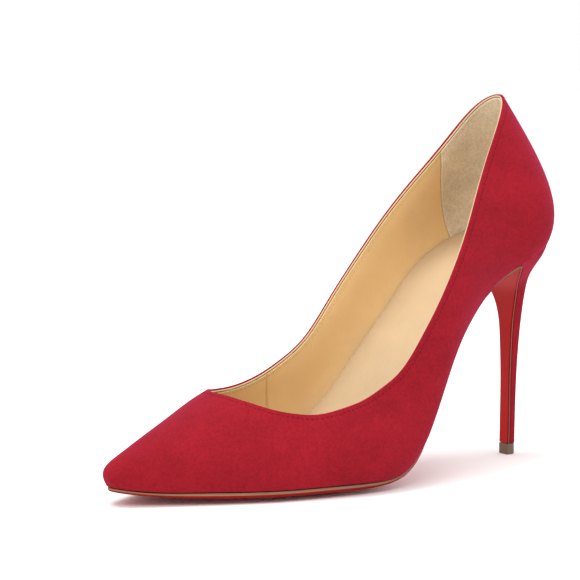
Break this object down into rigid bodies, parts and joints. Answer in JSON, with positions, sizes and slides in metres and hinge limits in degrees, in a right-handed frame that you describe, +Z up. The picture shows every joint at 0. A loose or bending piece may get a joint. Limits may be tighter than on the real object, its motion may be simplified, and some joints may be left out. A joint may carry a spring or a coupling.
{
  "type": "high heel pump",
  "caption": "Pointed-toe pump for the left foot: a soft suede upper on a thin leather sole with a slim, tall, covered stiletto heel.",
  "frame": {"origin": "centre of the footprint box, on the ground plane", "axes": "toe towards -X, back of the heel towards +X, inner side of the foot towards +Y, +Z up"},
  "size_m": [0.2182, 0.08, 0.157],
  "materials": {
    "suede": "fine suede nap",
    "stiffener": "matte thermoplastic fabric",
    "tape": "matte woven tape",
    "tan_leather": "smooth satin leather",
    "pale_lining": "suede side out",
    "board": "matte fibreboard",
    "foam": "soft foam",
    "cork": "cork",
    "steel": "plain steel",
    "red_sole": "lacquered leather",
    "abs": "moulded plastic",
    "rubber": "matte wear tip"
  },
  "bodies": {
    "root": {"upper_suede": "suede", "toe_puff": "stiffener", "heel_counter": "stiffener", "outer_topline_tape": "tape", "inner_topline_tape": "tape", "vamp_lining": "tan_leather", "outer_quarter_lining": "tan_leather", "inner_quarter_lining": "tan_leather", "heel_grip_lining": "pale_lining", "insole_board": "board", "sock_foam": "foam", "sock_lining": "tan_leather", "bottom_filler": "cork", "shank": "steel", "front_shank_rivet": "steel", "rear_shank_rivet": "steel", "outsole": "red_sole", "heel_cover": "suede", "heel_core": "abs", "heel_rod": "steel", "top_piece": "rubber", "top_piece_pin": "steel", "heel_screw": "steel", "heel_nail_1": "steel", "heel_nail_2": "steel", "heel_nail_3": "steel", "heel_nail_4": "steel"}
  },
  "joints": []
}
